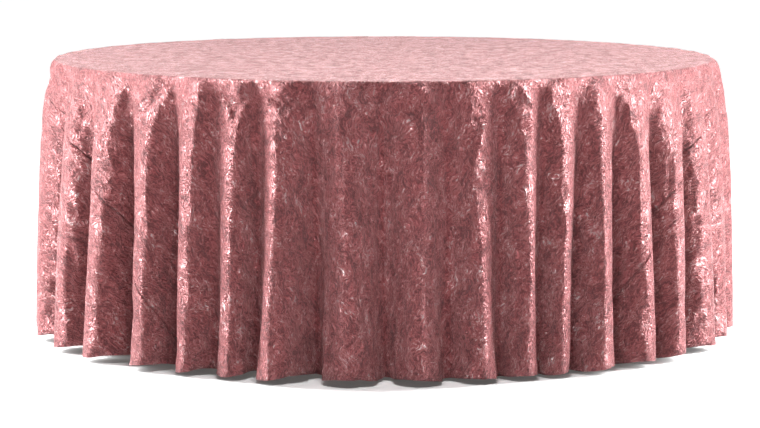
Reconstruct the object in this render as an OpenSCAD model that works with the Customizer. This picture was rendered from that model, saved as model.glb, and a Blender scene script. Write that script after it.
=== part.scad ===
// Round floor-length tablecloth on the folding banquet table that carries it.
// Origin: on the floor, under the middle of the table. +Z is up and -Y is the front.

/* [Table top] */
// Diameter of the table over its edge band
table_d = 1829; // [1750:1:2250]
// Height of the table's top face above the floor
table_h = 762; // [620:1:766]
// Thickness of the plywood top
top_t = 19; // [18:0.5:26]
// How far the edge band stands out from the plywood
band_t = 10; // [8.5:0.5:16]
// Radius of the band's rounded corners
edge_round = 8; // [4:0.5:8]
// Depth of the band's tongue in its groove
tongue_depth = 11; // [6:1:16]
// Thickness of the band's tongue
tongue_t = 3; // [2:0.5:5]

/* [Cloth] */
// Height of the cloth's hem above the floor
hem_gap = 6; // [4:1:60]
// Thickness of the velvet with its pile
cloth_t = 1.5; // [0.8:0.1:3]
// How far the highest part of each seam hangs below the table's edge
seam_drop = 62; // [30:1:200]
// How far a fold's crest stands out at the hem, beyond its valley
fold_stand = 50; // [20:1:70]

/* [Leg frames] */
// Distance of each leg pivot from the middle of the table
pivot_x = 715; // [715:1:740]
// Distance of each leg from the table's middle line
leg_y = 330; // [250:1:380]
// Outward lean of the legs when they are open
splay = 2; // [1:0.5:3]
// Outer diameter of the leg and pivot tubes
tube_d = 25.4; // [21:0.1:31]
// Outer diameter of the stretcher tubes
stretcher_d = 20; // [16:0.5:24]
// Wall of every tube
tube_wall = 1.5; // [1:0.1:3]
// Height of the foot stretcher up the leg
foot_stretcher_up = 146; // [60:1:220]
// Height of each foot cap
cap_h = 26; // [20:1:40]
// Wall of each foot cap
cap_wall = 2.5; // [1.5:0.5:5]
// Thickness of the battens under the top
batten_t = 20; // [15:1:25]
// Width of the battens
batten_w = 70; // [60:1:90]
// Gap between a pivot tube and its batten
pivot_gap = 4.3; // [3:0.1:8]

/* [Stays] */
// Distance of the stay's leg pivot from the leg pivot, along the leg
stay_h = 250; // [205:1:305]
// Distance of the stay's leg pivot from the leg's own line
stay_in = 22; // [21.5:0.1:22.5]
// Distance of the stay's table pivot from the middle of the table
stay_x = 365; // [340:1:400]
// Width of the stay bars
stay_w = 20; // [16:1:20]
// Thickness of the stay bars
stay_t = 5; // [4:0.5:6]
// Diameter of the rivets
rivet_d = 8; // [6:0.5:9]

/* [Hidden] */
$fn = 48;
front = -90;                      // direction of the front, in degrees from +X
table_r = table_d / 2;
under_z = table_h - top_t;        // underside of the plywood
tube_r = tube_d / 2;
bore_r = tube_r - tube_wall;
stretcher_r = stretcher_d / 2;
pivot_z = under_z - batten_t - pivot_gap - tube_r;
leg_len = pivot_z / cos(splay);   // from the pivot to the floor
foot_stretcher_at = leg_len - foot_stretcher_up;

soft_gap = 0.5;                   // between the cloth and the table's top, and between panels
edge_gap = 1;                     // between the cloth and the table's edge, where it is faceted
run_gap = 0.1;                    // round a shaft that turns
slide_gap = 0.5;                  // between plates that swing past each other
hole_gap = 0.1;                   // round a screw

// ---- Cloth: flat distance s from the middle, wrapped over the edge and down ----

// Crest of each fold, in degrees round from the front, seen from above and counter-clockwise
fold_at = [5, 14, 22, 29, 36, 44, 54, 63, 72, 83,
           93, 102, 112, 121, 129, 139, 148, 158, 167, 175,
           185, 194, 203, 213, 222, 231, 241, 250, 259, 268,
           276, 286, 299, 309, 320, 329, 336, 344, 354];
folds = len(fold_at);
fold_steps = 6;                   // facets across one fold
cols = folds * fold_steps;
turn_steps = 3;                   // facets round the table's edge
drop_rows = 4;                    // rows of facets down the skirt
tip_h = 12;                       // height left at the ends of a side panel

turn_r = edge_round + soft_gap + cloth_t;               // of the cloth's face, over the edge
flat_r = table_r + edge_gap + cloth_t - turn_r;         // where the cloth starts to turn down
turn_s = turn_r * PI / 2;                               // cloth used by the turn
top_z = table_h + soft_gap + cloth_t;
drop_s = flat_r + turn_s;                               // flat distance where the skirt starts
drop_len = top_z - turn_r - hem_gap;
cloth_r = drop_s + drop_len;                            // of the cloth laid flat
seam_offset = drop_s + seam_drop;                       // of each seam, from the middle

function crest(i) = fold_at[(i % folds + folds) % folds] + 360 * floor(i / folds);
function col_angle(k) =
    let (i = floor(k / fold_steps), f = k / fold_steps - i)
    front + crest(i) + (crest(i + 1) - crest(i)) * f;
function wave(k) = (1 + cos(360 * (k % fold_steps) / fold_steps)) / 2;

// Point of the cloth at column k and flat distance s, sunk inward by depth
function cloth_point(k, s, depth) =
    let (a = col_angle(k),
         turn = min(90, max(0, (s - flat_r) / turn_s * 90)),
         t = max(0, s - drop_s),
         stand = fold_stand * pow(t / drop_len, 0.7) * wave(k),
         r = min(s, flat_r) + (turn_r - depth) * sin(turn) + stand,
         z = top_z - turn_r + (turn_r - depth) * cos(turn) - t)
    [r * cos(a), r * sin(a), z];

// The seams are straight on the flat cloth, so on the skirt they fall away to the hem
function seam_s(k) = seam_offset / max(0.01, abs(cos(col_angle(k))));
function past_seam(k, side) = side * cos(col_angle(k)) * cloth_r > seam_offset;
function on_side(k, side) = past_seam(k - 1, side) || past_seam(k, side) || past_seam(k + 1, side);
function panel_edge(k) = min(seam_s(k), cloth_r - tip_h);
function centre_edge(k) = on_side(k, 1) || on_side(k, -1) ? panel_edge(k) - soft_gap : cloth_r;

// Rows of the centre panel: the turn, then the skirt down to a seam or the hem
centre_rows = turn_steps + drop_rows;
function centre_s(k, row) = row <= turn_steps
    ? flat_r + turn_s * row / turn_steps
    : drop_s + (centre_edge(k) - drop_s) * (row - turn_steps) / drop_rows;

// ---- Stays: two links that fold flat, and lie in one line when the leg is open ----

stay_z = pivot_z + stay_in;
leg_pin = [pivot_x + stay_h * sin(splay) - stay_in * cos(splay),
           pivot_z - stay_h * cos(splay) - stay_in * sin(splay)];
top_pin = [stay_x, stay_z];
folded_gap = pivot_x - stay_h - stay_x;                 // between the two pins, folded
stay_span = norm(leg_pin - top_pin);
upper_len = (stay_span + folded_gap) / 2;
lower_len = (stay_span - folded_gap) / 2;
stay_slope = atan2(top_pin[1] - leg_pin[1], leg_pin[0] - top_pin[0]);
rivet_r = rivet_d / 2;
head_r = rivet_r + 4;
head_t = 2.5;
stop_past = 24;                   // how far the upper link runs past the knee
stop_t = 3;                       // thickness of its stop tab
stop_len = 12;

// ---- Brackets, battens and screws ----

saddle_y = leg_y - 60;            // middle of each saddle
saddle_w = 30;
saddle_wall = 4;
saddle_x = 60;                    // length of its foot plate
plate_t = 3;
plate_edge = 7;                   // from a plate's edge to the middle of a screw
screw_r = 2;
screw_head_r = 4;
screw_head_t = 2;
screw_bite = 12;                  // how far the screws go into the plywood
batten_end = 60;                  // batten past each leg
tube_end = 32;                    // pivot tube past each leg
cap_floor = 5;                    // rubber under the end of each leg
lug_t = 5;
lug_w = 24;
ear_t = 3;
ear_len = 26;
bracket_foot = 24;                // foot plate either side of the stay
rivet_sink = 1.6;                 // depth of the flush rivet head, sunk in the lower stay

SIDES = ["left", "right"];
SIDE_NODES = ["batten", "saddles", "screws", "pivot_tube", "front_leg", "back_leg",
              "stay_stretcher", "foot_stretcher", "foot_caps", "stay_lug", "lug_rivet",
              "lower_stay", "upper_stay", "lower_knee_rivet", "upper_knee_rivet",
              "stay_bracket", "bracket_pin"];

// ---- Small helpers ----

// Cylinder along +Y from y0 to y1, at a point of the X-Z plane
module rod(p, r, y0, y1) {
    translate([p[0], y0, p[1]]) rotate([-90, 0, 0]) cylinder(r = r, h = y1 - y0);
}

// Plate in the X-Z plane between y0 and y1: a bar from p to q with round ends
module bar(p, q, w, y0, y1) {
    d = q - p;
    translate([p[0], y0, p[1]]) rotate([0, -atan2(d[1], d[0]), 0])
        translate([0, 0, -w / 2]) cube([norm(d), y1 - y0, w]);
    rod(p, w / 2, y0, y1);
    rod(q, w / 2, y0, y1);
}

// The leg frame is drawn hanging straight down from its pivot, then leans out
module lean() {
    translate([pivot_x, 0, pivot_z]) rotate([0, -splay, 0]) children();
}

// A child drawn for the right side, on the side that is asked for
module on(side) {
    mirror([side == "left" ? 1 : 0, 0, 0]) children();
}

// ---- Cloth panels ----

// Closed sheet over a grid: outer points first, then inner points, each rows of n points
module sheet(outer, inner, n, rows) {
    m = n * rows;
    quads = [for (j = [0:rows - 2]) for (i = [0:n - 2]) j * n + i];
    polyhedron(
        points = concat(outer, inner),
        faces = concat(
            [for (q = quads) [q, q + n, q + n + 1]],
            [for (q = quads) [q, q + n + 1, q + 1]],
            [for (q = quads) [m + q, m + q + n + 1, m + q + n]],
            [for (q = quads) [m + q, m + q + 1, m + q + n + 1]],
            [for (i = [0:n - 2]) [i, i + 1, m + i + 1, m + i]],
            [for (i = [m - n:m - 2]) [i + 1, i, m + i, m + i + 1]],
            [for (j = [0:rows - 2]) [(j + 1) * n, j * n, m + j * n, m + (j + 1) * n]],
            [for (j = [1:rows - 1]) [j * n - 1, (j + 1) * n - 1, m + (j + 1) * n - 1, m + j * n - 1]]
        ));
}

module side_panel(side) {
    ks = [for (k = [0:cols - 1]) if (on_side(k, side)) k];
    function s_at(k, row) = panel_edge(k) + (cloth_r - panel_edge(k)) * row / drop_rows;
    function face(depth) =
        [for (row = [0:drop_rows]) for (k = ks) cloth_point(k, s_at(k, row), depth)];
    color("rosybrown") sheet(face(0), face(cloth_t), len(ks), drop_rows + 1);
}

// The centre panel covers the whole top, and hangs to the hem at the front and the back
module centre_panel() {
    function face(depth) = concat(
        [[0, 0, top_z - depth]],
        [for (row = [0:centre_rows]) for (k = [0:cols - 1])
            cloth_point(k, centre_s(k, row), depth)]);
    m = 1 + cols * (centre_rows + 1);
    function at(row, k) = 1 + row * cols + k % cols;
    ring = [0:cols - 1];
    color("rosybrown") polyhedron(
        points = concat(face(0), face(cloth_t)),
        faces = concat(
            [for (k = ring) [0, at(0, k + 1), at(0, k)]],
            [for (k = ring) [m, m + at(0, k), m + at(0, k + 1)]],
            [for (j = [0:centre_rows - 1]) for (k = ring) [at(j, k), at(j, k + 1), at(j + 1, k + 1)]],
            [for (j = [0:centre_rows - 1]) for (k = ring) [at(j, k), at(j + 1, k + 1), at(j + 1, k)]],
            [for (j = [0:centre_rows - 1]) for (k = ring)
                [m + at(j, k), m + at(j + 1, k + 1), m + at(j, k + 1)]],
            [for (j = [0:centre_rows - 1]) for (k = ring)
                [m + at(j, k), m + at(j + 1, k), m + at(j + 1, k + 1)]],
            [for (k = ring) [at(centre_rows, k), at(centre_rows, k + 1),
                m + at(centre_rows, k + 1), m + at(centre_rows, k)]]
        ));
}

// ---- Table top ----

module tongue_profile() {
    translate([table_r - band_t - tongue_depth, under_z + (top_t - tongue_t) / 2])
        square([tongue_depth, tongue_t]);
}

module table_top() {
    color("burlywood") difference() {
        translate([0, 0, under_z]) cylinder(r = table_r - band_t, h = top_t, $fn = 180);
        rotate_extrude($fn = 180) tongue_profile();
        for (side = SIDES) on(side) top_screw_holes();
    }
}

// Edge band: a rounded face and the tongue that is pressed into the plywood
module edge_band() {
    corner = table_r - edge_round;
    color("dimgray") rotate_extrude($fn = 180) {
        polygon(concat(
            [[table_r - band_t, table_h], [table_r - band_t, under_z]],
            [for (a = [-90:15:0])
                [corner + edge_round * cos(a), under_z + edge_round + edge_round * sin(a)]],
            [for (a = [0:15:90])
                [corner + edge_round * cos(a), table_h - edge_round + edge_round * sin(a)]]
        ));
        tongue_profile();
    }
}

// ---- Pieces fixed under the top, drawn for the right side ----

// Middles of the screws that hold the saddles and the batten, and of those that hold the bracket
saddle_screws = [for (y = [-saddle_y, saddle_y]) for (d = [-1, 1])
    [pivot_x + d * (saddle_x / 2 - plate_edge), y]];
upper_y = [slide_gap / 2, slide_gap / 2 + stay_t];       // the upper stay's two faces
lower_y = [-upper_y[1], -upper_y[0]];                   // the lower stay's two faces
lug_y = [lower_y[0] - slide_gap - lug_t, lower_y[0] - slide_gap];
ear_y = [lower_y[1] - ear_t, upper_y[1] + slide_gap];    // where each ear starts
bracket_y = [ear_y[0] - bracket_foot, ear_y[1] + ear_t + bracket_foot];
bracket_screws = [for (y = [bracket_y[0] + plate_edge, bracket_y[1] - plate_edge]) [stay_x, y]];

module top_screw_holes() {
    for (p = concat(saddle_screws, bracket_screws))
        translate([p[0], p[1], under_z - 1]) cylinder(r = screw_r + hole_gap, h = screw_bite + 2);
}

module screw_holes(spots) {
    for (p = spots) translate([p[0], p[1], 0]) cylinder(r = screw_r + hole_gap, h = table_h);
}

module batten() {
    color("peru") difference() {
        translate([pivot_x - batten_w / 2, -leg_y - batten_end, under_z - batten_t])
            cube([batten_w, 2 * (leg_y + batten_end), batten_t]);
        screw_holes(saddle_screws);
    }
}

// Steel saddles: a strap round the pivot tube and the plate that screws up to the batten
module saddles() {
    color("silver") for (y = [-saddle_y, saddle_y]) difference() {
        union() {
            translate([pivot_x - saddle_x / 2, y - saddle_w / 2, under_z - batten_t - plate_t])
                cube([saddle_x, saddle_w, plate_t]);
            rod([pivot_x, pivot_z], tube_r + run_gap + saddle_wall, y - saddle_w / 2, y + saddle_w / 2);
        }
        rod([pivot_x, pivot_z], tube_r + run_gap, y - saddle_w, y + saddle_w);
        translate([0, 0, under_z - batten_t + table_h / 2]) cube([4 * pivot_x, 4 * pivot_x, table_h], center = true);
        screw_holes(saddle_screws);
    }
}

module screw(p, plate_z) {
    translate([p[0], p[1], plate_z - screw_head_t]) cylinder(r = screw_head_r, h = screw_head_t);
    translate([p[0], p[1], plate_z - screw_head_t])
        cylinder(r = screw_r, h = under_z + screw_bite - plate_z + screw_head_t);
}

module screws() {
    color("silver") {
        for (p = saddle_screws) screw(p, under_z - batten_t - plate_t);
        for (p = bracket_screws) screw(p, under_z - plate_t);
    }
}

// Bracket for the stay: a plate under the top with two ears that hold the pin
module stay_bracket() {
    color("silver") difference() {
        union() {
            translate([stay_x - ear_len / 2, bracket_y[0], under_z - plate_t])
                cube([ear_len, bracket_y[1] - bracket_y[0], plate_t]);
            for (y = ear_y) {
                rod(top_pin, ear_len / 2, y, y + ear_t);
                translate([stay_x - ear_len / 2, y, stay_z]) cube([ear_len, ear_t, under_z - stay_z]);
            }
        }
        rod(top_pin, rivet_r, bracket_y[0], bracket_y[1]);
        screw_holes(bracket_screws);
    }
}

module bracket_pin() {
    color("gainsboro") {
        rod(top_pin, rivet_r, ear_y[0], ear_y[1] + ear_t);
        rod(top_pin, head_r, ear_y[0] - head_t, ear_y[0]);
        rod(top_pin, head_r, ear_y[1] + ear_t, ear_y[1] + ear_t + head_t);
    }
}

// ---- Leg frame, drawn for the right side ----

module pivot_tube() {
    reach = leg_y + tube_end;
    color("slategray") difference() {
        rod([pivot_x, pivot_z], tube_r, -reach, reach);
        rod([pivot_x, pivot_z], bore_r, -reach - 1, reach + 1);
    }
}

// Leg tube, coped over the pivot tube at its top
module leg(y) {
    color("slategray") lean() difference() {
        translate([0, y, cap_floor - leg_len]) cylinder(r = tube_r, h = leg_len - cap_floor);
        translate([0, y, -leg_len]) cylinder(r = bore_r, h = leg_len + 1);
        rod([0, 0], tube_r, y - 2 * tube_r, y + 2 * tube_r);
    }
}

// Tube between the two legs, coped to fit them
module stretcher(at) {
    color("slategray") lean() difference() {
        rod([0, -at], stretcher_r, -leg_y, leg_y);
        rod([0, -at], stretcher_r - tube_wall, -leg_y - 1, leg_y + 1);
        for (y = [-leg_y, leg_y]) translate([0, y, -leg_len]) cylinder(r = tube_r, h = leg_len);
    }
}

module foot_caps() {
    color("dimgray") difference() {
        lean() for (y = [-leg_y, leg_y]) difference() {
            translate([0, y, -leg_len - cap_h]) cylinder(r = tube_r + cap_wall, h = 2 * cap_h);
            translate([0, y, cap_floor - leg_len]) cylinder(r = tube_r, h = 2 * cap_h);
        }
        translate([0, 0, -table_h / 2]) cube([4 * pivot_x, 4 * pivot_x, table_h], center = true);
    }
}

// Plate welded round the stay's stretcher, with the lower stay riveted to its end
module stay_lug() {
    color("silver") lean() difference() {
        bar([0, -stay_h], [-stay_in, -stay_h], lug_w, lug_y[0], lug_y[1]);
        rod([0, -stay_h], stretcher_r, lug_y[0] - 1, lug_y[1] + 1);
        rod([-stay_in, -stay_h], rivet_r, lug_y[0] - 1, lug_y[1] + 1);
    }
}

// Rivet with a round head outside the lug and a flush one sunk in the stay
module lug_rivet() {
    color("gainsboro") {
        rod(leg_pin, rivet_r, lug_y[0], lower_y[1]);
        rod(leg_pin, head_r, lug_y[0] - head_t, lug_y[0]);
        rod(leg_pin, head_r - run_gap, lower_y[1] - rivet_sink + run_gap, lower_y[1]);
    }
}

// ---- Stays, drawn open for the right side ----

// Frame along the open stay: x runs from the table pin towards the leg pin, z is across it
module along_stay() {
    translate([top_pin[0], 0, top_pin[1]]) rotate([0, stay_slope, 0]) children();
}

// The upper link runs past the knee, and its tab stops the lower link in line with it
module upper_stay() {
    edge = stay_w / 2 + run_gap;
    color("silver") along_stay() difference() {
        union() {
            bar([0, 0], [upper_len, 0], stay_w, upper_y[0], upper_y[1]);
            translate([upper_len, upper_y[0], -stay_w / 2]) cube([stop_past, stay_t, stay_w]);
            translate([upper_len + stop_past - stop_len, upper_y[0], stay_w / 2])
                cube([stop_len, stay_t, run_gap + stop_t]);
            translate([upper_len + stop_past - stop_len, lower_y[0], edge])
                cube([stop_len, upper_y[1] - lower_y[0], stop_t]);
        }
        rod([0, 0], rivet_r + run_gap, upper_y[0] - 1, upper_y[1] + 1);
        rod([upper_len, 0], rivet_r, upper_y[0] - 1, upper_y[1] + 1);
    }
}

module lower_stay() {
    color("silver") along_stay() difference() {
        bar([upper_len, 0], [upper_len + lower_len, 0], stay_w, lower_y[0], lower_y[1]);
        rod([upper_len, 0], rivet_r, lower_y[0] - 1, lower_y[1] + 1);
        rod([upper_len + lower_len, 0], rivet_r + run_gap, lower_y[0] - 1, lower_y[1] + 1);
        rod([upper_len + lower_len, 0], head_r, lower_y[1] - rivet_sink, lower_y[1] + 1);
    }
}

// The knee rivet, in two halves: each stays in its own link
module upper_knee_rivet() {
    color("gainsboro") along_stay() {
        rod([upper_len, 0], rivet_r, upper_y[0], upper_y[1]);
        rod([upper_len, 0], head_r, upper_y[1], upper_y[1] + head_t);
    }
}

module lower_knee_rivet() {
    color("gainsboro") along_stay() {
        rod([upper_len, 0], rivet_r, lower_y[0], lower_y[1]);
        rod([upper_len, 0], head_r, lower_y[0] - head_t, lower_y[0]);
    }
}

// ---- Every sub-part ----

centre_panel();
side_panel(-1);  // left_side_panel
side_panel(1);  // right_side_panel
table_top();
edge_band();
for (side = SIDES) on(side) {
    batten();
    saddles();
    screws();
    stay_bracket();
    bracket_pin();
    pivot_tube();
    leg(-leg_y);
    leg(leg_y);
    stretcher(stay_h);
    stretcher(foot_stretcher_at);
    foot_caps();
    stay_lug();
    lug_rivet();
    upper_stay();
    upper_knee_rivet();
    lower_stay();
    lower_knee_rivet();
}
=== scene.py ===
"""Round velvet tablecloth on its folding banquet table, in the order it is put together."""
import math

import bmesh
import bpy
import numpy as np
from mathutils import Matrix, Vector


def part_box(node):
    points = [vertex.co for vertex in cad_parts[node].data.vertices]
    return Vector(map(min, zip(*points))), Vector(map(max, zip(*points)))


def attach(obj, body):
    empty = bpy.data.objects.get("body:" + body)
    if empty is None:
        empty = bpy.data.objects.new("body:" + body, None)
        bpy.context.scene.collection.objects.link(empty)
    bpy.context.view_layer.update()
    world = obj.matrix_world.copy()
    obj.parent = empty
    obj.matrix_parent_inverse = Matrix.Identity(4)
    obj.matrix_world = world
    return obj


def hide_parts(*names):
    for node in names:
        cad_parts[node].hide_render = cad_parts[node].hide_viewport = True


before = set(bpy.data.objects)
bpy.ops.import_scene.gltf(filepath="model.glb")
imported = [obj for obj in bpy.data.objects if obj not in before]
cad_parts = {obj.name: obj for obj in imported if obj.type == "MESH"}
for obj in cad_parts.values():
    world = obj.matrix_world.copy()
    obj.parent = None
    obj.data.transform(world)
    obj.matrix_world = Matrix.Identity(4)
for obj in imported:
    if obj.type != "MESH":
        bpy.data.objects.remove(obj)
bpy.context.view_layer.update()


# ---- Table top ----
# A disc of birch plywood, sanded and sealed, grooved round its edge for the band.
# Only its underside shows, when the cloth is lifted or seen from below.

def new_material(name, **settings):
    """Material with one Principled shader, its constant sockets set by name."""
    material = bpy.data.materials.new(name)
    material.use_nodes = True
    shader = material.node_tree.nodes["Principled BSDF"]
    for socket, value in settings.items():
        shader.inputs[socket.replace("_", " ")].default_value = value
    return material, material.node_tree, shader


def add(tree, kind, inputs=None, **properties):
    """New node; inputs gives each socket a value, or another node's output."""
    node = tree.nodes.new("ShaderNode" + kind)
    for key, value in properties.items():
        setattr(node, key, value)
    for key, value in (inputs or {}).items():
        if isinstance(value, bpy.types.NodeSocket):
            tree.links.new(value, node.inputs[key])
        else:
            node.inputs[key].default_value = value
    return node


def ramp(tree, source, *stops):
    """Colour ramp over a 0 to 1 value; each stop is a place and a colour."""
    node = add(tree, "ValToRGB", {"Fac": source})
    while len(node.color_ramp.elements) < len(stops):
        node.color_ramp.elements.new(0.5)
    for element, (place, colour) in zip(node.color_ramp.elements, stops):
        element.position = place
        element.color = (*colour, 1)
    return node.outputs["Color"]


def stretched(tree, x=1.0, y=1.0, z=1.0):
    """Object coordinates, stretched so that a texture runs long where its share is small."""
    where = add(tree, "TexCoord").outputs["Object"]
    return add(tree, "Mapping", {"Vector": where, "Scale": (x, y, z)}).outputs["Vector"]


def bump(tree, shader, height, distance):
    """Raises the surface by up to distance where height is 1."""
    node = add(tree, "Bump", {"Height": height, "Distance": distance})
    tree.links.new(node.outputs["Normal"], shader.inputs["Normal"])


def finish_nodes(material, *names):
    """Gives CAD nodes their material."""
    for name in names:
        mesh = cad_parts[name].data
        mesh.materials.clear()
        mesh.materials.append(material)


def wood(name, light, dark, grain=1.0):
    """Long figure along X, with fine pores in it."""
    material, tree, shader = new_material(name, Roughness=0.52)
    along = stretched(tree, 1.6 * grain, 26 * grain, 26 * grain)
    figure = add(tree, "TexNoise", {"Vector": along, "Scale": 3.0, "Detail": 8.0, "Distortion": 1.1})
    pores = add(tree, "TexNoise", {"Vector": along, "Scale": 24.0, "Detail": 3.0, "Roughness": 0.7})
    scaled = add(tree, "Math", {0: pores.outputs["Fac"], 1: 0.35}, operation="MULTIPLY")
    mixed = add(tree, "Math", {0: figure.outputs["Fac"], 1: pores.outputs["Fac"], 2: scaled.outputs[0]},
                operation="MULTIPLY_ADD")
    colour = ramp(tree, mixed.outputs[0], (0.45, dark), (0.62, light), (0.85, dark))
    tree.links.new(colour, shader.inputs["Base Color"])
    bump(tree, shader, pores.outputs["Fac"], 0.0006)
    return material


plywood = wood("plywood", light=(0.66, 0.46, 0.27), dark=(0.47, 0.29, 0.15))
finish_nodes(plywood, "table_top")


# ---- Edge band ----
# Dark bullnose moulding of extruded vinyl, its tongue pressed into the plywood's groove.

def satin_vinyl():
    """Dark brown, with a faint haze."""
    material, tree, shader = new_material("edge_vinyl", Roughness=0.42)
    haze = add(tree, "TexNoise", {"Vector": stretched(tree), "Scale": 240.0, "Detail": 4.0})
    colour = ramp(tree, haze.outputs["Fac"], (0.3, (0.035, 0.024, 0.02)), (0.7, (0.06, 0.042, 0.034)))
    tree.links.new(colour, shader.inputs["Base Color"])
    bump(tree, shader, haze.outputs["Fac"], 0.0002)
    return material


finish_nodes(satin_vinyl(), "edge_band")


# ---- Battens ----
# Planed softwood under the top at each side. The saddle screws go through them.

SIDES = ("left", "right")
batten_wood = wood("batten_wood", light=(0.6, 0.4, 0.22), dark=(0.42, 0.25, 0.12), grain=0.7)
finish_nodes(batten_wood, *[side + "_batten" for side in SIDES])


# ---- Saddles, brackets, stays and their screws, pins and rivets ----
# Pressed zinc-plated steel. The plates are dull with fine rolling marks, the rivets brighter.

def zinc(name, tone, roughness):
    """Plated steel: small crystals in its colour, rolling marks in its shine."""
    material, tree, shader = new_material(name, Metallic=1.0)
    blotch = add(tree, "TexVoronoi", {"Vector": stretched(tree), "Scale": 190.0, "Randomness": 1.0})
    marks = add(tree, "TexNoise", {"Vector": stretched(tree, 40, 400, 40), "Scale": 5.0, "Detail": 6.0})
    shades = [tuple(c * k for c in tone) for k in (0.78, 1.0)]
    colour = ramp(tree, blotch.outputs["Distance"], (0.0, shades[0]), (0.7, shades[1]))
    tree.links.new(colour, shader.inputs["Base Color"])
    rough = add(tree, "MapRange", {"Value": marks.outputs["Fac"], "To Min": roughness - 0.1,
                                   "To Max": roughness + 0.14})
    tree.links.new(rough.outputs["Result"], shader.inputs["Roughness"])
    bump(tree, shader, marks.outputs["Fac"], 0.0002)
    return material


PLATES = ("saddles", "screws", "stay_bracket", "stay_lug", "upper_stay", "lower_stay")
RIVETS = ("bracket_pin", "lug_rivet", "upper_knee_rivet", "lower_knee_rivet")
finish_nodes(zinc("zinc_steel", (0.56, 0.57, 0.6), 0.42), *[s + "_" + n for s in SIDES for n in PLATES])
finish_nodes(zinc("rivet_steel", (0.68, 0.66, 0.6), 0.3), *[s + "_" + n for s in SIDES for n in RIVETS])


# ---- Leg frames ----
# Welded steel tube in a dark grey textured powder coat: a pivot tube, two legs, two stretchers.

def powder_coat():
    """Dark grey, with orange peel and worn patches."""
    material, tree, shader = new_material("tube_paint", Roughness=0.48)
    orange_peel = add(tree, "TexNoise", {"Vector": stretched(tree), "Scale": 520.0, "Detail": 3.0})
    wear = add(tree, "TexNoise", {"Vector": stretched(tree), "Scale": 16.0, "Detail": 8.0, "Roughness": 0.7})
    colour = ramp(tree, wear.outputs["Fac"], (0.35, (0.05, 0.05, 0.055)), (0.75, (0.085, 0.085, 0.09)))
    tree.links.new(colour, shader.inputs["Base Color"])
    bump(tree, shader, orange_peel.outputs["Fac"], 0.0004)
    return material


TUBES = ("pivot_tube", "front_leg", "back_leg", "stay_stretcher", "foot_stretcher")
finish_nodes(powder_coat(), *[s + "_" + n for s in SIDES for n in TUBES])


# ---- Foot caps ----
# Moulded black rubber, pushed onto the ends of the legs.

def moulded_rubber():
    """Black, with dust in its texture."""
    material, tree, shader = new_material("foot_rubber", Roughness=0.75)
    dust = add(tree, "TexNoise", {"Vector": stretched(tree), "Scale": 60.0, "Detail": 9.0, "Roughness": 0.75})
    colour = ramp(tree, dust.outputs["Fac"], (0.4, (0.018, 0.018, 0.018)), (0.8, (0.06, 0.055, 0.05)))
    tree.links.new(colour, shader.inputs["Base Color"])
    bump(tree, shader, dust.outputs["Fac"], 0.0004)
    return material


finish_nodes(moulded_rubber(), *[s + "_foot_caps" for s in SIDES])


# ---- The cloth, cut and draped ----
# One round, sewn from three widths of velvet, thrown over the table. Its middle lies on the top;
# the rest turns over the edge and hangs in folds, for its rim is 1.8 times as long as the table's.

band_low, band_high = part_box("edge_band")
table_r = band_high.x                   # outside of the edge band
table_z = band_high.z                   # face of the plywood
hem_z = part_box("centre_panel")[0].z     # the hem clears the floor
lift = 0.0018                           # velvet's face above the plywood
cloth_t = 0.0012                        # thickness of the velvet
bend_r = 0.0098                         # radius at which the face turns over the edge
flat_r = table_r + lift - bend_r        # where it starts to turn
edge_s = flat_r + bend_r * math.pi / 2  # cloth used, from the middle, once it hangs
cloth_r = edge_s + table_z + lift - bend_r - hem_z

# Crest of each fold, in degrees round from the front, counter-clockwise from above
fold_at = [5, 14, 22, 29, 36, 44, 54, 63, 72, 83,
           93, 102, 112, 121, 129, 139, 148, 158, 167, 175,
           185, 194, 203, 213, 222, 231, 241, 250, 259, 268,
           276, 286, 299, 309, 320, 329, 336, 344, 354]
columns = 544                           # threads of the net, round the cloth
rows = 36                               # and from the table's edge to the hem
row_crowding = 1.45                     # the rows lie closer near the edge than at the hem
pin_s = table_r - 0.020                 # the net starts on the flat top
flare = 0.028                           # how far the folds stand off the table on average
flare_drop = 0.07                       # drop over which they come out
edge_grip = 0.03                        # drop over which the edge still holds the cloth out
crest_breadth = 0.3                     # makes the crests broad and the valleys narrow
deepest = 0.15                          # more than any fold's depth
drape_frames = 30
chance = np.random.default_rng(7)


def fold_wave(angles, share, drift, depth):
    """How far each point of a ring stands out: 1 at an average crest, -1 at an average valley."""
    count = len(fold_at)
    crest = np.radians(fold_at) + drift * share
    widths = np.diff(np.append(crest, crest[0] + 2 * np.pi)) * count / (2 * np.pi)
    around = np.concatenate([crest - 2 * np.pi, crest, crest + 2 * np.pi])
    phase = np.interp(angles, around, np.arange(3 * count) - count)
    fold = np.floor(phase).astype(int) % count
    between = phase - np.floor(phase)
    valley = widths * depth
    peak = (valley + np.roll(valley, 1)) / 2
    height = peak[fold] * (1 - between) + peak[(fold + 1) % count] * between
    wave = np.cos(2 * np.pi * between)
    wave += crest_breadth * (1 - wave ** 2)
    return np.where(wave > 0, height * wave, valley[fold] * wave)


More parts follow.
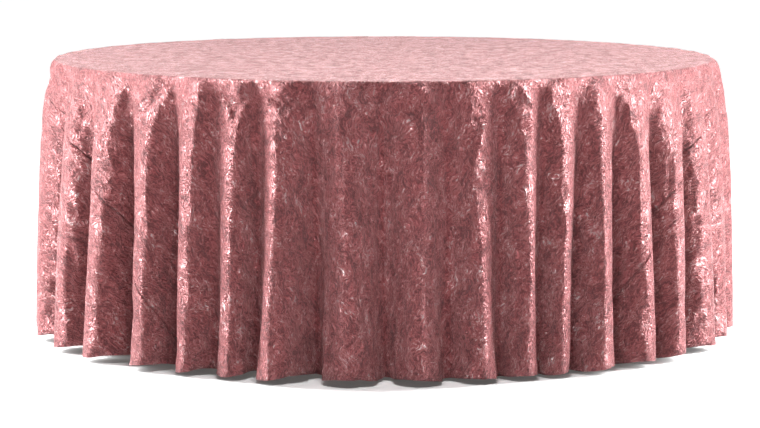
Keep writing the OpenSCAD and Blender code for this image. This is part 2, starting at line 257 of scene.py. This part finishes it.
def hung_ring(s, drift, depth):
    """Radius and angle of each column where the cloth hangs, at flat distance s from its middle.
    The ring is exactly as long as the cloth is there."""
    fine = 8 * columns
    drop = s - edge_s
    angles = np.linspace(0, 2 * np.pi, fine, endpoint=False)
    wave = fold_wave(angles, drop / (cloth_r - edge_s), drift, depth)
    off_edge = math.exp(-(drop / edge_grip) ** 2)
    middle = flat_r + bend_r + flare * (1 - math.exp(-drop / flare_drop))
    low, high = 0.0, deepest
    for _ in range(30):
        stand = (low + high) / 2
        radius = middle + stand * (wave + off_edge)
        point = radius * np.exp(1j * angles)
        steps = np.abs(np.roll(point, -1) - point)
        low, high = (low, stand) if steps.sum() > 2 * np.pi * s else (stand, high)
    along = np.concatenate([[0], np.cumsum(steps)]) / steps.sum()
    closed = np.append(angles, 2 * np.pi)
    angle = np.interp(np.arange(columns) / columns, along, closed)
    return np.interp(angle, closed, np.append(radius, radius[0])), angle


def laid_folds(distances):
    """The cloth's net, folded but not yet hung: the place of every point."""
    drift = np.radians(chance.uniform(-1.6, 1.6, len(fold_at)))
    depth = chance.uniform(0.82, 1.18, len(fold_at))
    radius, angle, height = [], [], []
    for row, s in enumerate(distances):
        if s <= edge_s:
            turn = min(max((s - flat_r) / bend_r, 0), math.pi / 2)
            radius.append(np.full(columns, min(s, flat_r) + bend_r * math.sin(turn)))
            angle.append(np.linspace(0, 2 * np.pi, columns, endpoint=False))
            height.append(np.full(columns, table_z + lift - bend_r * (1 - math.cos(turn))))
            continue
        new_radius, new_angle = hung_ring(s, drift, depth)
        step = s - distances[row - 1]
        out = new_radius - radius[-1]
        aside = new_radius * ((new_angle - angle[-1] + np.pi) % (2 * np.pi) - np.pi)
        fall = np.sqrt(np.maximum(step ** 2 - out ** 2 - aside ** 2, (0.3 * step) ** 2))
        radius.append(new_radius)
        angle.append(new_angle)
        height.append(height[-1] - fall)
    radius, angle, height = (np.array(a) for a in (radius, angle, height))
    return np.stack([radius * np.sin(angle), -radius * np.cos(angle), height], -1)


def lathe(name, profile, steps):
    """Mesh turned about Z from a profile of radii and heights."""
    turn = np.linspace(0, 2 * np.pi, steps, endpoint=False)
    points = [(r * math.sin(a), -r * math.cos(a), z) for r, z in profile for a in turn]
    index = np.arange(len(points)).reshape(-1, steps)
    beside = np.roll(index, -1, 1)
    faces = np.stack([index[:-1], index[1:], beside[1:], beside[:-1]], -1).reshape(-1, 4)
    mesh = bpy.data.meshes.new(name)
    mesh.from_pydata(points, [], faces.tolist())
    return bpy.data.objects.new(name, mesh)


def drape(net, distances):
    """Lets the folded net hang under gravity from the table's edge, keeping the cloth's own lengths."""
    turn = np.linspace(0, 2 * np.pi, columns, endpoint=False)
    flat = np.stack([np.outer(distances, np.sin(turn)), -np.outer(distances, np.cos(turn)),
                     np.zeros((len(distances), columns))], -1)
    index = np.arange(net.shape[0] * columns).reshape(-1, columns)
    beside = np.roll(index, -1, 1)
    faces = np.stack([index[:-1], beside[:-1], beside[1:], index[1:]], -1).reshape(-1, 4)
    mesh = bpy.data.meshes.new("net")
    mesh.from_pydata(net.reshape(-1, 3).tolist(), [], faces.tolist())
    cloth = bpy.data.objects.new("net", mesh)
    bpy.context.collection.objects.link(cloth)
    cloth.shape_key_add(name="Basis")
    key = cloth.shape_key_add(name="flat")
    key.data.foreach_set("co", flat.reshape(-1).astype(np.float32))
    held = cloth.vertex_groups.new(name="held")
    held.add(index[distances <= flat_r + 0.3 * (edge_s - flat_r)].ravel().tolist(), 1.0, "REPLACE")

    round_r = 0.008                     # rounding of the table's edge
    corner = [(table_r - round_r * (1 - math.sin(a)), table_z - round_r * (1 - math.cos(a)))
              for a in np.linspace(0, math.pi / 2, 6)]
    inner_r = 0.7
    above = [(inner_r, table_z), (0.86, table_z)]
    below = [(table_r, band_low.z + round_r), (table_r - round_r, band_low.z), (inner_r, band_low.z)]
    profile = above + corner + below
    form = lathe("form", profile, 180)
    bpy.context.collection.objects.link(form)
    form.modifiers.new("Collision", "COLLISION")
    form.collision.thickness_outer = 0.0012
    form.collision.thickness_inner = 0.004
    form.collision.cloth_friction = 20

    hang = cloth.modifiers.new("Cloth", "CLOTH")
    velvet = hang.settings
    velvet.vertex_group_mass = "held"
    velvet.rest_shape_key = key
    velvet.quality = 6
    velvet.mass = 0.02
    velvet.tension_stiffness = velvet.compression_stiffness = 15
    velvet.shear_stiffness = 4
    velvet.bending_stiffness = 0.2
    velvet.tension_damping = velvet.compression_damping = 10
    velvet.shear_damping = 8
    velvet.bending_damping = 0.5
    velvet.air_damping = 2
    velvet.effector_weights.gravity = 0.4
    hang.collision_settings.distance_min = 0.0015
    hang.point_cache.frame_end = drape_frames
    for moment in range(1, drape_frames + 1):
        bpy.context.scene.frame_set(moment)
    hung = cloth.evaluated_get(bpy.context.evaluated_depsgraph_get()).to_mesh()
    points = np.zeros(len(hung.vertices) * 3, np.float32)
    hung.vertices.foreach_get("co", points)
    bpy.context.scene.frame_set(1)
    for left_over in (cloth, form):
        bpy.data.objects.remove(left_over)
    return points.reshape(net.shape).astype(float)


net_s = pin_s + (cloth_r - pin_s) * np.linspace(0, 1, rows + 1) ** row_crowding
net = laid_folds(net_s)
net = drape(net, net_s)


# ---- Velvet panels ----
# Crushed velvet, pile out: a centre width that runs front to back over the top, and a segment
# at each side, joined to it by straight seams. The hem and the seam turnings lie behind the face.

seam_x = edge_s + 0.062                 # each seam, from the middle of the flat cloth
seam_dip = 0.0028                       # the stitches pull the seam in
dip_w = 0.005                           # and this far to each side of it
allowance = 0.011                       # velvet turned back inside, each side of a seam
turned_t = 0.0009                       # thickness of the velvet turned inside
turned_gap = 0.0002                     # between it and the cloth's back


def halved(points, axis, closed):
    """Net with a point added half-way along each stretch, on a smooth curve through its neighbours."""
    if closed:
        before, after, beyond = (np.roll(points, shift, axis) for shift in (1, -1, -2))
    else:
        first, last = points[:1], points[-1:]
        before = np.concatenate([2 * first - points[1:2], points[:-1]])
        after = np.concatenate([points[1:], 2 * last - points[-2:-1]])
        beyond = np.concatenate([after[1:], 3 * last - 2 * points[-2:-1]])
    between = (9 * (points + after) - before - beyond) / 16
    both = np.stack([points, between], axis + 1)
    shape = list(points.shape)
    shape[axis] *= 2
    both = both.reshape(shape)
    return both if closed else both[:-1]


net_s = halved(net_s, 0, False)
net = halved(halved(net, 0, False), 1, True)
columns *= 2
turn = np.linspace(0, 2 * np.pi, columns, endpoint=False)


def hung(flat):
    """Where points of the flat cloth hang."""
    s = np.clip(np.hypot(flat[:, 0], flat[:, 1]), net_s[0], cloth_r)
    row = np.clip(np.searchsorted(net_s, s, side="right") - 1, 0, len(net_s) - 2)
    down = ((s - net_s[row]) / (net_s[row + 1] - net_s[row]))[:, None]
    column = np.arctan2(flat[:, 0], -flat[:, 1]) / (2 * np.pi) % 1 * columns
    k = np.floor(column).astype(int)
    across = (column - k)[:, None]
    here, beside = k % columns, (k + 1) % columns
    upper = net[row, here] * (1 - across) + net[row, beside] * across
    lower = net[row + 1, here] * (1 - across) + net[row + 1, beside] * across
    return upper * (1 - down) + lower * down


def flat_cloth():
    """The whole cloth lying flat, cut along its seams and beside them. Its middle is one face."""
    flat = bmesh.new()
    rings = [[flat.verts.new((s * math.sin(a), -s * math.cos(a), 0)) for a in turn] for s in net_s]
    flat.faces.new(rings[0])
    for upper, lower in zip(rings, rings[1:]):
        for k in range(columns):
            flat.faces.new((upper[k], lower[k], lower[(k + 1) % columns], upper[(k + 1) % columns]))
    for side in (-1, 1):
        for x in (seam_x - allowance, seam_x - dip_w, seam_x, seam_x + dip_w, seam_x + allowance):
            bmesh.ops.bisect_plane(flat, geom=flat.verts[:] + flat.edges[:] + flat.faces[:],
                                   dist=1e-5, plane_co=(side * x, 0, 0), plane_no=(1, 0, 0))
    return flat


def velvet_panel(name, belongs, cut, outside, inside, behind=0.0, thickness=cloth_t):
    """Cuts one panel from the flat cloth and hangs it. belongs says which flat points are its own;
    behind is how far its outside lies behind the cloth's face."""
    panel = cut.copy()
    strays = [f for f in panel.faces if not belongs(*f.calc_center_median().xy)]
    bmesh.ops.delete(panel, geom=strays, context="FACES")
    uv = panel.loops.layers.uv.new("flat_cut")
    for face in panel.faces:
        for loop in face.loops:
            loop[uv].uv = loop.vert.co.xy
    mesh = bpy.data.meshes.new(name)
    panel.to_mesh(mesh)
    panel.free()
    flat = np.zeros(len(mesh.vertices) * 3)
    mesh.vertices.foreach_get("co", flat)
    flat = flat.reshape(-1, 3)
    draped = hung(flat)
    mesh.vertices.foreach_set("co", draped.ravel())
    mesh.update()
    normals = np.zeros(len(mesh.vertices) * 3)
    mesh.vertices.foreach_get("normal", normals)
    on_seam = (np.abs(np.abs(flat[:, 0]) - seam_x) < 1e-4)[:, None]
    sunk = on_seam * seam_dip + behind
    mesh.vertices.foreach_set("co", (draped - sunk * normals.reshape(-1, 3)).ravel())
    mesh.update()
    mesh.polygons.foreach_set("use_smooth", [True] * len(mesh.polygons))
    mesh.materials.append(outside)
    mesh.materials.append(inside)
    piece = bpy.data.objects.new(name, mesh)
    bpy.context.collection.objects.link(piece)
    thicken = piece.modifiers.new("Thicken", "SOLIDIFY")
    thicken.thickness = thickness
    thicken.offset = -1
    thicken.material_offset = 1
    made = bpy.data.meshes.new_from_object(piece.evaluated_get(bpy.context.evaluated_depsgraph_get()))
    piece.modifiers.clear()
    piece.data = made
    made.name = name
    return piece


def crushed_velvet():
    """Pile that lies in feathery swirls: each tuft tilts the shine its own way. Its colour also carries
    painted highlight flecks and painted shade over the rose dye.
    """
    material, tree, shader = new_material(
        "velvet", Metallic=0.45, Sheen_Weight=0.1, Sheen_Roughness=0.3,
        Sheen_Tint=(1.0, 0.9, 0.9, 1), IOR=1.75, Specular_IOR_Level=0.7, Specular_Tint=(1.0, 0.96, 0.96, 1))
    flat_place = add(tree, "UVMap", uv_map="flat_cut").outputs["UV"]
    swirl = add(tree, "TexNoise", {"Vector": flat_place, "Scale": 14.0, "Detail": 3.0})
    bend = add(tree, "VectorMath", {0: swirl.outputs["Color"], 1: (0.5, 0.5, 0.5)}, operation="SUBTRACT")
    pushed = add(tree, "VectorMath", {0: bend.outputs["Vector"], 1: (0.07, 0.07, 0.07)}, operation="MULTIPLY")
    warped = add(tree, "VectorMath", {0: flat_place, 1: pushed.outputs["Vector"]}, operation="ADD")
    stretch = add(tree, "Mapping", {"Vector": warped.outputs["Vector"], "Scale": (1.0, 0.45, 1.0)})
    drawn = stretch.outputs["Vector"]
    lie = add(tree, "TexNoise", {"Vector": drawn, "Scale": 34.0, "Detail": 3.0, "Roughness": 0.6})
    tufts = add(tree, "TexNoise", {"Vector": drawn, "Scale": 210.0, "Detail": 3.0, "Roughness": 0.65,
                                   "Distortion": 0.6})
    share = add(tree, "Math", {0: lie.outputs["Fac"], 1: 0.6}, operation="MULTIPLY")
    pile_and_painted_light = add(tree, "Math", {0: tufts.outputs["Fac"], 1: share.outputs[0]}, operation="ADD").outputs[0]
    # Painted light in the colour: the low stop is near-black painted shade, the middle stops are the rose
    # dye, and the top stop is pale pink painted highlight flecks.
    colour = ramp(tree, pile_and_painted_light, (0.66, (0.13, 0.012, 0.016)), (0.8, (0.3, 0.055, 0.06)),
                  (0.94, (0.42, 0.13, 0.135)), (1.0, (0.75, 0.55, 0.55)))
    tree.links.new(colour, shader.inputs["Base Color"])
    gloss = add(tree, "MapRange", {0: pile_and_painted_light, 1: 0.68, 2: 1.0, 3: 0.55, 4: 0.26}).outputs[0]
    tree.links.new(gloss, shader.inputs["Roughness"])
    bump(tree, shader, pile_and_painted_light, 0.022)
    return material


def velvet_reverse():
    """The dull woven back of the velvet, with fine ribs."""
    material, tree, shader = new_material("velvet_reverse", Roughness=0.9)
    flat_place = add(tree, "UVMap", uv_map="flat_cut").outputs["UV"]
    ribs = add(tree, "TexWave", {"Vector": flat_place, "Scale": 320.0, "Distortion": 1.5, "Detail": 2.0})
    colour = ramp(tree, ribs.outputs["Fac"], (0.0, (0.2, 0.075, 0.078)), (1.0, (0.3, 0.13, 0.132)))
    tree.links.new(colour, shader.inputs["Base Color"])
    bump(tree, shader, ribs.outputs["Fac"], 0.0004)
    return material


velvet_face = crushed_velvet()
reverse = velvet_reverse()
cut_flat = flat_cloth()
segment = cloth_r ** 2 * math.acos(seam_x / cloth_r) - seam_x * math.sqrt(cloth_r ** 2 - seam_x ** 2)
chord = 2 * math.sqrt(cloth_r ** 2 - seam_x ** 2)
whole_area = math.pi * cloth_r ** 2
hem_s = net_s[-2]                       # the hem is turned up inside to here
centre_size = (2 * seam_x, 2 * cloth_r)
side_size = (cloth_r - seam_x, chord)
PANELS = (
    ("centre", "centre_panel", lambda x: abs(x) < seam_x, centre_size, whole_area - 2 * segment),
    ("left", "left_side_panel", lambda x: x < -seam_x, side_size, segment),
    ("right", "right_side_panel", lambda x: x > seam_x, side_size, segment),
)
TURNED = (
    ("_hem", lambda x, y: math.hypot(x, y) > hem_s),
    ("_seam_turning", lambda x, y: abs(abs(x) - seam_x) < allowance and math.hypot(x, y) < hem_s),
)
for side, node, within, flat_size, flat_area in PANELS:
    piece = velvet_panel(side + "_velvet", lambda x, y: within(x), cut_flat, velvet_face, reverse)
    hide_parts(node)
    turned = []
    for ending, strip in TURNED:
        turned.append(velvet_panel(side + ending, lambda x, y: within(x) and strip(x, y), cut_flat,
                                   reverse, velvet_face, cloth_t + turned_gap, turned_t))
    for cut_piece in [piece] + turned:
        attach(cut_piece, "cloth")
cut_flat.free()


# ---- Floor, light and camera ----
# A pale floor that glows behind and far off, a soft box at each side, a small one in front and a wide
# one behind, and a camera a little above the table top.

def pale_floor(half=40):
    """White floor. It glows little beside the table, so that the folds keep their shade."""
    corners = [(-half, -half, 0), (half, -half, 0), (half, half, 0), (-half, half, 0)]
    mesh = bpy.data.meshes.new("floor")
    mesh.from_pydata(corners, [], [(0, 1, 2, 3)])
    material, tree, shader = new_material("floor_paint", Roughness=0.8)
    speck = add(tree, "TexNoise", {"Vector": stretched(tree), "Scale": 3.0, "Detail": 2.0})
    colour = ramp(tree, speck.outputs["Fac"], (0.0, (0.88, 0.88, 0.88)), (1.0, (0.9, 0.9, 0.9)))
    tree.links.new(colour, shader.inputs["Base Color"])
    shader.inputs["Emission Color"].default_value = (1, 1, 1, 1)
    place = add(tree, "TexCoord").outputs["Object"]
    back = add(tree, "SeparateXYZ", {0: place}).outputs["Y"]
    behind = add(tree, "MapRange", {0: back, 1: 0.6, 2: 2.0, 3: 0.08, 4: 1.0}).outputs[0]
    away = add(tree, "VectorMath", {0: place}, operation="LENGTH").outputs["Value"]
    far = add(tree, "MapRange", {0: away, 1: 3.5, 2: 6.0, 3: 0.0, 4: 1.0}).outputs[0]
    strength = add(tree, "Math", {0: behind, 1: far}, operation="MAXIMUM").outputs[0]
    tree.links.new(strength, shader.inputs["Emission Strength"])
    mesh.materials.append(material)
    floor = bpy.data.objects.new("floor", mesh)
    bpy.context.collection.objects.link(floor)


def soft_box(name, place, aim, width, height, power):
    """Rectangular lamp at place, turned to aim."""
    lamp = bpy.data.lights.new(name, "AREA")
    lamp.shape = "RECTANGLE"
    lamp.size, lamp.size_y = width, height
    lamp.energy = power
    box = bpy.data.objects.new(name, lamp)
    box.location = place
    box.rotation_euler = (Vector(aim) - Vector(place)).to_track_quat("-Z", "Y").to_euler()
    bpy.context.collection.objects.link(box)


def white_room(seen, cast):
    """World that the camera sees white, and that lights the cloth only a little."""
    world = bpy.data.worlds.new("room")
    world.use_nodes = True
    bpy.context.scene.world = world
    tree = world.node_tree
    dim = tree.nodes["Background"]
    dim.inputs["Color"].default_value = (1, 1, 1, 1)
    dim.inputs["Strength"].default_value = cast
    bright = add(tree, "Background", {"Color": (1, 1, 1, 1), "Strength": seen})
    ray = add(tree, "LightPath").outputs["Is Camera Ray"]
    both = add(tree, "MixShader", {0: ray, 1: dim.outputs[0], 2: bright.outputs[0]})
    tree.links.new(both.outputs[0], tree.nodes["World Output"].inputs["Surface"])


pale_floor()
white_room(seen=1.0, cast=0.02)
soft_box("left_box", (-3.6, 0.25, 1.3), (0, 0, 0.4), 0.9, 2.2, 440)
soft_box("right_box", (3.6, 0.25, 1.3), (0, 0, 0.4), 0.9, 2.2, 440)
soft_box("front_box", (0, -2.6, 2.0), (0, -0.9, 0.0), 1.0, 0.8, 58)
soft_box("back_box", (0, 3.4, 2.0), (0, 0, 0.7), 6, 1.4, 100)

camera = bpy.data.objects.new("camera", bpy.data.cameras.new("camera"))
bpy.context.collection.objects.link(camera)
camera.data.lens = 137
camera.location = (-0.011, -8.09, 1.317)
camera.rotation_euler = (Vector((-0.011, 0, 0.319)) - camera.location).to_track_quat("-Z", "Y").to_euler()
camera.data.clip_end = 200
bpy.context.scene.camera = camera
bpy.context.scene.view_settings.view_transform = "Standard"
